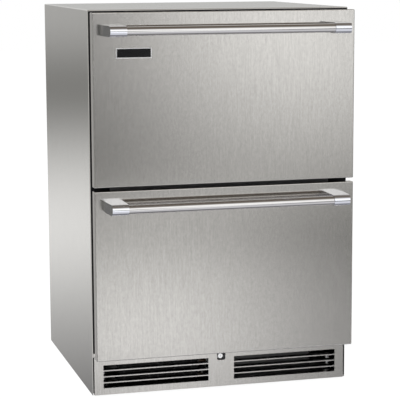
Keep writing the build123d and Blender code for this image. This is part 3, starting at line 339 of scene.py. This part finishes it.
def with_rough_returns_and_painted_shade(material, colour):
    """Makes the bent returns at a front's sides and bottom rougher than its face, and darker with painted
    shade along those edges.
    """
    tree = material.node_tree
    normal = add_node(tree, "ShaderNodeNewGeometry").outputs["Normal"]
    split = add_node(tree, "ShaderNodeSeparateXYZ", {"Vector": normal})
    aside = maths(tree, "ABSOLUTE", split.outputs["X"])
    downward = maths(tree, "MULTIPLY", split.outputs["Z"], -1.0)
    on_return = remap(tree, maths(tree, "MAXIMUM", aside, downward), 0, 1, RETURN_BEGINS, RETURN_WHOLE)
    rough_socket = shader_of(material).inputs["Roughness"]
    face_roughness = rough_socket.links[0].from_socket
    tree.links.new(remap(tree, on_return, face_roughness, RETURN_ROUGHNESS, 0, 1), rough_socket)
    colour_socket = shader_of(material).inputs["Base Color"]
    face_colour = colour_socket.links[0].from_socket
    # Painted shade: the returns' base colour is darkened to stand for the shade along the fronts' side and
    # bottom edges
    darker = (*(channel * RETURN_PAINTED_SHADE for channel in colour), 1)
    tree.links.new(mixed(tree, "RGBA", on_return, face_colour, darker), colour_socket)
    return material


def smooth_surface(name, colour, metallic, roughness, cell, spread=0.08, rough_swing=0.06, relief=0.0,
                   **sockets):
    """A plated, painted or moulded surface with faint clouds of colour and gloss.

    cell is the size of one cloud, and relief the depth of a grain nine times finer.
    """
    material = new_finish(name, colour, metallic, roughness, **sockets)
    tree = material.node_tree
    clouds = noise(tree, object_place(tree, (1 / cell,) * 3), detail=4.0, roughness=0.6)
    vary_colour(material, clouds, colour, spread)
    vary_roughness(material, clouds, roughness - rough_swing, roughness + rough_swing)
    if relief:
        grain = noise(tree, object_place(tree, (9 / cell,) * 3), detail=2.0)
        add_relief(material, grain, relief)
    return material


def spangled_zinc(name, colour, metallic=0.9, roughness=0.42, cell=0.012, spread=0.06, rough_swing=0.06):
    """Hot-dip galvanised sheet with its crystal pattern."""
    material = new_finish(name, colour, metallic, roughness)
    tree = material.node_tree
    crystals = add_node(tree, "ShaderNodeTexVoronoi", {
        "Vector": object_place(tree, (1 / cell,) * 3), "Scale": 1.0, "Randomness": 1.0})
    level = add_node(tree, "ShaderNodeSeparateColor", {"Color": crystals.outputs["Color"]}).outputs["Red"]
    vary_colour(material, level, colour, spread, from_low=0, from_high=1)
    vary_roughness(material, level, roughness - rough_swing, roughness + rough_swing)
    return material


def rigid_foam(name, colour, roughness=0.9, cell=0.0016, cell_depth=0.0005, cloud=0.04, spread=0.08):
    """Cut insulating foam with open cells."""
    material = new_finish(name, colour, 0.0, roughness)
    tree = material.node_tree
    cells = add_node(tree, "ShaderNodeTexVoronoi", {
        "Vector": object_place(tree, (1 / cell,) * 3), "Scale": 1.0}).outputs["Distance"]
    clouds = noise(tree, object_place(tree, (1 / cloud,) * 3), detail=3.0)
    vary_colour(material, clouds, colour, spread)
    add_relief(material, cells, cell_depth)
    return material


def make_finishes(finishes):
    """A material for each slot of the record, for the fronts' sheet and for the plate's rim.

    The numbers of a smooth surface after its colour are metallic, roughness, size of a cloud, swing of
    the colour, swing of the roughness, and depth of the grain where it has one.
    """
    steel = tuple(finishes.steel_colour)
    brush = finishes.grain_width, finishes.grain_length
    streak = finishes.streak_width, finishes.streak_length
    rough = finishes.steel_roughness
    return {
        "stainless_brushed": brushed_steel("Brushed stainless", steel, rough, brush, streak),
        "front_sheet": with_rough_returns_and_painted_shade(
            brushed_steel("Brushed front sheet", steel, rough, brush, streak), steel),
        "liner_steel": brushed_steel(
            "Fine brushed stainless", (0.64, 0.635, 0.62), 0.36, brush, streak, 0.035, 0.4),
        "handle_steel": smooth_surface("Polished tube", (0.66, 0.65, 0.65), 1.0, 0.07, 0.03, 0.02, 0.015),
        "bracket_chrome": smooth_surface("Bracket chrome", (0.8, 0.815, 0.87), 1.0, 0.06, 0.03, 0.02, 0.02),
        "lock_chrome": smooth_surface("Lock chrome", (0.8, 0.8, 0.81), 1.0, 0.14, 0.01, 0.03, 0.04),
        "plate_black": smooth_surface(
            "Black enamel", (0.006, 0.006, 0.007), 0.0, 0.2, 0.01, 0.2, 0.04, Specular_IOR_Level=0.22),
        "plate_rim": smooth_surface("Satin plate rim", (0.93, 0.93, 0.93), 1.0, 0.42, 0.01, 0.03, 0.04),
        "gasket_black": smooth_surface(
            "Gasket vinyl", (0.007, 0.007, 0.008), 0.0, 0.6, 0.02, 0.2, 0.08, 0.00004,
            Specular_IOR_Level=0.12),
        "panel_dark": smooth_surface(
            "Dark moulding", (0.01, 0.01, 0.011), 0.0, 0.55, 0.03, 0.15, 0.06, 0.00003,
            Specular_IOR_Level=0.12),
        "mullion_gray": smooth_surface(
            "Gray satin paint", (0.16, 0.16, 0.165), 0.0, 0.42, 0.03, 0.05, 0.05, 0.00002),
        "foam": rigid_foam("Rigid foam", (0.8, 0.72, 0.5)),
        "galvanised": spangled_zinc("Galvanised sheet", (0.56, 0.57, 0.585)),
        "slide_zinc": smooth_surface("Bright zinc plate", (0.66, 0.67, 0.69), 1.0, 0.28, 0.02, 0.05, 0.07),
        "fastener_steel": smooth_surface("Fastener plate", (0.62, 0.62, 0.63), 1.0, 0.3, 0.006, 0.08, 0.08),
        "leg_steel": smooth_surface("Leg plate", (0.52, 0.52, 0.53), 1.0, 0.34, 0.008, 0.08, 0.08),
        "compressor_paint": smooth_surface(
            "Semi-gloss black", (0.02, 0.02, 0.022), 0.0, 0.3, 0.05, 0.15, 0.05, 0.00006, Coat_Weight=0.2),
        "grommet_rubber": smooth_surface(
            "Grommet rubber", (0.025, 0.025, 0.026), 0.0, 0.75, 0.01, 0.2, 0.05, 0.00005),
        "coil_metal": smooth_surface("Mill aluminium", (0.76, 0.77, 0.78), 1.0, 0.36, 0.015, 0.05, 0.08),
        # Painted shade: the copper lines' colour is made near black to stand for the shade inside the machine
        # compartment
        "copper": smooth_surface("Copper with painted shade", (0.13, 0.085, 0.06), 1.0, 0.6, 0.02, 0.12, 0.1),
        "fan_plastic": smooth_surface(
            "Fan plastic", (0.045, 0.045, 0.05), 0.0, 0.45, 0.02, 0.1, 0.05, 0.00002),
        "motor_steel": smooth_surface("Motor can", (0.36, 0.36, 0.37), 0.9, 0.42, 0.012, 0.08, 0.08),
        "pan_plastic": smooth_surface("Pan plastic", (0.09, 0.09, 0.1), 0.0, 0.48, 0.03, 0.08, 0.05, 0.00003),
        "lamp_diffuser": smooth_surface(
            "Frosted diffuser", (0.86, 0.86, 0.84), 0.0, 0.35, 0.02, 0.02, 0.04, Transmission_Weight=0.25),
    }


def finish_of(key):
    """The material made for a slot or a special finish."""
    return bpy.data.materials[FINISH_NAMES[key]]


# Shared helpers for meshes

def finish_piece(name, shape, body, slot, stands_for=(), finish=None):
    """Makes an object of a bmesh, at the origin, on its body and in its slot."""
    bmesh.ops.recalc_face_normals(shape, faces=shape.faces)
    mesh = bpy.data.meshes.new(name)
    shape.to_mesh(mesh)
    shape.free()
    piece = bpy.data.objects.new(name, mesh)
    bpy.context.scene.collection.objects.link(piece)
    mesh.materials.append(finish_of(finish or slot))
    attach(piece, body)
    if stands_for:
        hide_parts(*stands_for)
    return piece


def add_box(shape, low, high):
    """Adds a box between two corners to a bmesh."""
    low, high = Vector(low), Vector(high)
    corners = bmesh.ops.create_cube(shape, size=1.0)["verts"]
    bmesh.ops.scale(shape, vec=high - low, verts=corners)
    bmesh.ops.translate(shape, vec=(low + high) / 2, verts=corners)


def solid_box(low, high):
    """A box between two corners, as a bmesh of its own."""
    shape = bmesh.new()
    add_box(shape, low, high)
    return shape


def edges_along(shape, axis, straight=0.999):
    """Edges of a shape that run along one axis, 0 to 2."""
    found = []
    for edge in shape.edges:
        way = (edge.verts[1].co - edge.verts[0].co).normalized()
        if abs(way[axis]) > straight:
            found.append(edge)
    return found


def round_edges(shape, edges, radius, segments=3):
    """Rounds edges over with a circular bevel."""
    bmesh.ops.bevel(shape, geom=edges, offset=radius, offset_type="OFFSET", segments=segments,
                    profile=0.5, affect="EDGES", clamp_overlap=True, material=-1)


def face_towards(shape, way):
    """The face whose normal is nearest to a direction."""
    shape.normal_update()
    way = Vector(way)
    return max(shape.faces, key=lambda face: (face.normal.dot(way), face.calc_area()))


# Operators

class FREEZER_OT_finishes(bpy.types.Operator):
    """Gives every construction node the finish of its slot"""

    bl_idname = "freezer.finishes"
    bl_label = "Finish the Nodes"

    def execute(self, context):
        for key, material in make_finishes(context.scene.freezer_finishes).items():
            FINISH_NAMES[key] = material.name
        for name, node in frame["nodes"].items():
            node.data.materials.clear()
            finish = "front_sheet" if name.endswith("front_skin") else SLOT_OF_NODE[name]
            node.data.materials.append(finish_of(finish))
        return {"FINISHED"}


class FREEZER_OT_name_plate(bpy.types.Operator):
    """Builds the bare plate: a bright rim round a black field"""

    bl_idname = "freezer.name_plate"
    bl_label = "Name Plate"

    def execute(self, context):
        sizes = context.scene.freezer_hardware
        recess = sizes.plate_recess
        edge_radius = 0.45 * recess
        field_front = 0.9 * recess
        field_back = 1.6 * recess
        sharp_angle = 0.3
        low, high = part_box("name_plate")
        rim = solid_box(low, high)
        front = face_towards(rim, (0, -1, 0))
        bmesh.ops.inset_region(rim, faces=[front], thickness=sizes.plate_rim, depth=0)
        bmesh.ops.inset_region(rim, faces=[front], thickness=recess, depth=-recess)
        sharp = [edge for edge in rim.edges if edge.calc_face_angle(0) > sharp_angle]
        round_edges(rim, sharp, edge_radius, 2)
        finish_piece("name_plate_rim", rim, "upper_drawer", "bracket_chrome", ["name_plate"],
                     finish="plate_rim")
        inset = sizes.plate_rim + recess
        field = solid_box((low.x + inset, low.y + field_front, low.z + inset),
                          (high.x - inset, low.y + field_back, high.z - inset))
        finish_piece("name_plate_field", field, "upper_drawer", "plate_black")
        return {"FINISHED"}


class FREEZER_OT_gaskets(bpy.types.Operator):
    """Builds the magnetic gaskets, each a bellows round its drawer's front"""

    bl_idname = "freezer.gaskets"
    bl_label = "Gaskets"

    def execute(self, context):
        width = context.scene.freezer_hardware.gasket_width
        for level in ("upper", "lower"):
            low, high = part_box(f"{level}_gasket")
            shape = bmesh.new()
            rings = [self.add_ring(shape, low, high, across * width, low.y + out * (high.y - low.y))
                     for across, out in self.section()]
            for ring, following in zip(rings, rings[1:] + rings[:1]):
                bmesh.ops.bridge_loops(shape, edges=ring + following)
            finish_piece(f"{level}_gasket_bellows", shape, f"{level}_drawer", "gasket_black",
                         [f"{level}_gasket"])
        return {"FINISHED"}

    def section(self):
        """The outline of the section: shares of its width inwards, and of its depth to the cabinet."""
        outer = [(0.04, 1.0), (0.0, 0.94), (0.0, 0.74), (0.05, 0.66), (0.2, 0.58), (0.05, 0.44),
                 (0.2, 0.3), (0.08, 0.16), (0.08, 0.0)]
        return outer + [(1 - across, out) for across, out in reversed(outer)]

    def add_ring(self, shape, low, high, inset, y):
        """A closed rectangle of edges round the front, inset from the gasket's outer edge."""
        corners = [shape.verts.new((x, y, z)) for x, z in (
            (low.x + inset, low.z + inset), (high.x - inset, low.z + inset),
            (high.x - inset, high.z - inset), (low.x + inset, high.z - inset))]
        return [shape.edges.new((corners[index - 1], corners[index])) for index in range(4)]


class FREEZER_OT_coil_fins(bpy.types.Operator):
    """Fills the condenser and the evaporator with their close-set fins"""

    bl_idname = "freezer.coil_fins"
    bl_label = "Coil Fins"

    def execute(self, context):
        sizes = context.scene.freezer_hardware
        bend_room = 0.027
        for coil in ("condenser_coil", "evaporator_coil"):
            low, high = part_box(coil)
            count = int((high.x - low.x - 2 * bend_room) / sizes.fin_pitch)
            start = (low.x + high.x - (count - 1) * sizes.fin_pitch) / 2
            shape = bmesh.new()
            for index in range(count):
                middle = start + index * sizes.fin_pitch
                add_box(shape, (middle - sizes.fin_sheet / 2, low.y, low.z),
                        (middle + sizes.fin_sheet / 2, high.y, high.z))
            finish_piece(f"{coil}_fins", shape, "cabinet", SLOT_OF_NODE[coil])
        return {"FINISHED"}


class FREEZER_OT_inlet_pins(bpy.types.Operator):
    """Clads the power inlet's three flat pins in metal"""

    bl_idname = "freezer.inlet_pins"
    bl_label = "Inlet Pins"

    def execute(self, context):
        pitch = 0.007
        width = 0.0017
        height = 0.0051
        end_margin = 0.003
        set_forward = 0.001
        edge_radius = 0.3 * width
        low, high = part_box("power_inlet")
        middle = (low + high) / 2
        half = Vector((width, high.y - low.y - 2 * end_margin, height)) / 2
        shape = bmesh.new()
        for side in (-1, 0, 1):
            rise = width if side == 0 else -width
            place = middle + Vector((side * pitch, -set_forward, rise))
            add_box(shape, place - half, place + half)
        round_edges(shape, edges_along(shape, 1), edge_radius, 2)
        finish_piece("power_inlet_pins", shape, "cabinet", "fastener_steel")
        return {"FINISHED"}


class FREEZER_OT_slide_rivets(bpy.types.Operator):
    """Sets the domed rivets that hold each slide's drawer member to the bin"""

    bl_idname = "freezer.slide_rivets"
    bl_label = "Slide Rivets"

    def execute(self, context):
        sizes = context.scene.freezer_hardware
        web = 0.0012
        end_margin = 0.035
        count = 4
        for level in ("upper", "lower"):
            low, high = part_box(f"{level}_slide_rails")
            bin_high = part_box(f"{level}_bin")[1]
            shape = bmesh.new()
            for side in (-1, 1):
                for index in range(count):
                    y = low.y + end_margin + index * (high.y - low.y - 2 * end_margin) / (count - 1)
                    foot = Vector((side * (bin_high.x + web), y, (low.z + high.z) / 2))
                    self.add_rivet(shape, foot, sizes)
            finish_piece(f"{level}_slide_rivets", shape, f"{level}_drawer", "fastener_steel")
        return {"FINISHED"}

    def add_rivet(self, shape, foot, sizes):
        """A flattened ball whose inner half is sunk in the slide's web, so that a low dome shows."""
        head = bmesh.ops.create_uvsphere(shape, u_segments=20, v_segments=12, radius=1.0)["verts"]
        bmesh.ops.scale(shape, verts=head, vec=(sizes.rivet_rise, sizes.rivet_radius, sizes.rivet_radius))
        bmesh.ops.translate(shape, verts=head, vec=foot)


class FREEZER_OT_display_lens(bpy.types.Operator):
    """Covers the display's window with its smoked lens"""

    bl_idname = "freezer.display_lens"
    bl_label = "Display Lens"

    def execute(self, context):
        margin = 0.0065
        key_margin = 0.00325
        key_rise = 0.0006
        thickness = 0.0005
        half_height = 0.004
        corner = 0.001
        low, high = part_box("display_module")
        middle = (low.z + high.z) / 2
        lens = solid_box((low.x + margin, low.y + key_rise, middle - half_height),
                         (-key_margin, low.y + key_rise + thickness, middle + half_height))
        round_edges(lens, edges_along(lens, 1), corner, 4)
        finish_piece("display_lens", lens, "cabinet", "plate_black")
        return {"FINISHED"}


class FREEZER_OT_stage(bpy.types.Operator):
    """Builds the floor, the lights, the world and the camera"""

    bl_idname = "freezer.stage"
    bl_label = "Studio"

    def execute(self, context):
        studio = context.scene.freezer_studio
        self.make_floor(studio)
        self.make_world(studio)
        self.add_light("Key light", studio.key_power, place=(-1.6, -3.4, 3.2), aim=(0, 0, 0.45), width=3.0)
        self.add_light("Side fill", studio.side_power, place=(-4.0, 0.6, 2.2), aim=(0, 0, 0.4), width=2.4)
        self.make_camera()
        context.scene.view_settings.view_transform = "Standard"
        return {"FINISHED"}

    def make_floor(self, studio):
        """A wide pale floor that keeps the freezer's shadow and that metal doesn't mirror."""
        shape = bmesh.new()
        bmesh.ops.create_grid(shape, x_segments=1, y_segments=1, size=studio.floor_radius)
        mesh = bpy.data.meshes.new("Floor")
        shape.to_mesh(mesh)
        shape.free()
        floor = bpy.data.objects.new("Floor", mesh)
        bpy.context.scene.collection.objects.link(floor)
        mesh.materials.append(self.pale_floor(studio))

    def pale_floor(self, studio):
        """Matt white, mostly covered by plain white where the camera looks at it."""
        material = bpy.data.materials.new("Pale floor")
        material.use_nodes = True
        tree = material.node_tree
        tree.nodes.clear()
        path = add_node(tree, "ShaderNodeLightPath")
        matt = add_node(tree, "ShaderNodeBsdfDiffuse", {"Color": (*(studio.floor_white,) * 3, 1)})
        white = add_node(tree, "ShaderNodeEmission", {"Color": (1, 1, 1, 1), "Strength": studio.floor_glow})
        clear = add_node(tree, "ShaderNodeBsdfTransparent")
        share = maths(tree, "MULTIPLY", seen_by_camera(tree, path), studio.floor_glow_share)
        pale = mixed_shaders(tree, share, matt.outputs[0], white.outputs[0])
        surface = mixed_shaders(tree, path.outputs["Is Glossy Ray"], pale, clear.outputs[0])
        add_node(tree, "ShaderNodeOutputMaterial", {"Surface": surface})
        return material

    def make_world(self, studio):
        """White to the camera, soft light to matt surfaces, and a studio of soft cards to metal."""
        world = bpy.data.worlds.new("Studio")
        bpy.context.scene.world = world
        world.use_nodes = True
        tree = world.node_tree
        tree.nodes.clear()
        path = add_node(tree, "ShaderNodeLightPath")
        cards = self.background(tree, self.studio_colour(tree), 1.0)
        soft = self.background(tree, (1, 1, 1, 1), studio.soft_light)
        white = self.background(tree, (1, 1, 1, 1), 1.0)
        lit = mixed_shaders(tree, path.outputs["Is Glossy Ray"], soft, cards)
        surface = mixed_shaders(tree, seen_by_camera(tree, path), lit, white)
        add_node(tree, "ShaderNodeOutputWorld", {"Surface": surface})

    def background(self, tree, colour, strength):
        """Light of one colour or of a pattern from all round."""
        return add_node(tree, "ShaderNodeBackground", {"Color": colour, "Strength": strength}).outputs[0]

    def studio_colour(self, tree):
        """What metal mirrors: a ramp over the elevation, with soft bright and dark cards on it."""
        way = add_node(tree, "ShaderNodeTexCoord").outputs["Generated"]
        split = add_node(tree, "ShaderNodeSeparateXYZ", {"Vector": way})
        ahead = maths(tree, "MULTIPLY", split.outputs["Y"], -1.0)
        azimuth = maths(tree, "ARCTAN2", split.outputs["X"], ahead)
        elevation = maths(tree, "ARCSINE", split.outputs["Z"])
        place = add_node(tree, "ShaderNodeCombineXYZ", {"X": azimuth, "Y": elevation}).outputs["Vector"]
        total = self.elevation_ramp(tree, elevation)
        for card in STUDIO_CARDS.values():
            total = vector_maths(tree, "ADD", total, self.card_glow(tree, place, *card))
        return vector_maths(tree, "MAXIMUM", total, STUDIO_DARKEST)

    def elevation_ramp(self, tree, elevation):
        """The studio's colour from straight down to straight up."""
        ramp = add_node(tree, "ShaderNodeValToRGB", {"Fac": remap(tree, elevation, 0, 1, -pi / 2, pi / 2)})
        stops = ramp.color_ramp.elements
        stops.remove(stops[1])
        for degrees_up, colour in STUDIO_RAMP:
            stop = stops.new(0.5 + degrees_up / 180) if degrees_up > -90 else stops[0]
            stop.color = (*colour, 1)
        return ramp.outputs["Color"]

    def card_glow(self, tree, place, azimuth, elevation, half_width, half_height, strength):
        """One soft card, which fades out from its middle like a bell curve."""
        away = vector_maths(tree, "SUBTRACT", place, (radians(azimuth), radians(elevation), 0))
        near = vector_maths(tree, "WRAP", away, (pi, pi, 1), (-pi, -pi, -1))
        sized = vector_maths(tree, "DIVIDE", near, (radians(half_width), radians(half_height), 1))
        square = vector_maths(tree, "DOT_PRODUCT", sized, sized)
        fade = maths(tree, "EXPONENT", maths(tree, "MULTIPLY", square, -1.0))
        return vector_maths(tree, "SCALE", (strength,) * 3, Scale=fade)

    def add_light(self, name, power, place, aim, width):
        """A large square lamp; metal mirrors the cards of the studio and not the lamp itself."""
        lamp = bpy.data.lights.new(name, "AREA")
        lamp.shape = "SQUARE"
        lamp.size = width
        lamp.energy = power
        light = bpy.data.objects.new(name, lamp)
        light.visible_glossy = False
        light.location = place
        light.rotation_euler = (Vector(aim) - Vector(place)).to_track_quat("-Z", "Y").to_euler()
        bpy.context.scene.collection.objects.link(light)

    def make_camera(self):
        """The camera at the photograph's viewpoint."""
        lens = bpy.data.cameras.new("Camera")
        lens.sensor_width = CAMERA_SENSOR_MM
        lens.lens = CAMERA_LENS_MM
        camera = bpy.data.objects.new("Camera", lens)
        aim = (Matrix.Rotation(-CAMERA_TURN, 4, "Z") @ Matrix.Rotation(pi / 2 - CAMERA_DIP, 4, "X")
               @ Matrix.Rotation(CAMERA_ROLL, 4, "Z"))
        camera.matrix_world = Matrix.Translation(CAMERA_PLACE) @ aim
        bpy.context.scene.collection.objects.link(camera)
        bpy.context.scene.camera = camera


class FREEZER_PT_pieces(bpy.types.Panel):
    """Lists the freezer's sizes, colours and pieces"""

    bl_idname = "FREEZER_PT_pieces"
    bl_label = "Drawer Freezer"
    bl_space_type = "VIEW_3D"
    bl_region_type = "UI"
    bl_category = "Drawer Freezer"

    def draw(self, context):
        layout = self.layout
        for group in GROUPS:
            box = layout.box()
            values = getattr(context.scene, group)
            for key in values.__annotations__:
                box.prop(values, key)
        for operator in OPERATORS:
            layout.operator(operator.bl_idname)


GROUPS = {
    "freezer_finishes": FreezerFinishes,
    "freezer_hardware": FreezerHardware,
    "freezer_studio": FreezerStudio,
}
OPERATORS = (
    FREEZER_OT_finishes,
    FREEZER_OT_name_plate,
    FREEZER_OT_gaskets,
    FREEZER_OT_coil_fins,
    FREEZER_OT_inlet_pins,
    FREEZER_OT_slide_rivets,
    FREEZER_OT_display_lens,
    FREEZER_OT_stage,
)


def register():
    """Registers the property groups, the operators and the panel."""
    for key, group in GROUPS.items():
        bpy.utils.register_class(group)
        setattr(bpy.types.Scene, key, PointerProperty(type=group))
    for operator in OPERATORS:
        bpy.utils.register_class(operator)
    bpy.utils.register_class(FREEZER_PT_pieces)


def unregister():
    """Takes back what register added, in the opposite order."""
    bpy.utils.unregister_class(FREEZER_PT_pieces)
    for operator in reversed(OPERATORS):
        bpy.utils.unregister_class(operator)
    for key, group in reversed(GROUPS.items()):
        delattr(bpy.types.Scene, key)
        bpy.utils.unregister_class(group)


def main():
    """Builds every piece and the studio."""
    register()
    for operator in OPERATORS:
        group, name = operator.bl_idname.split(".")
        getattr(getattr(bpy.ops, group), name)()


if __name__ == "__main__":
    main()
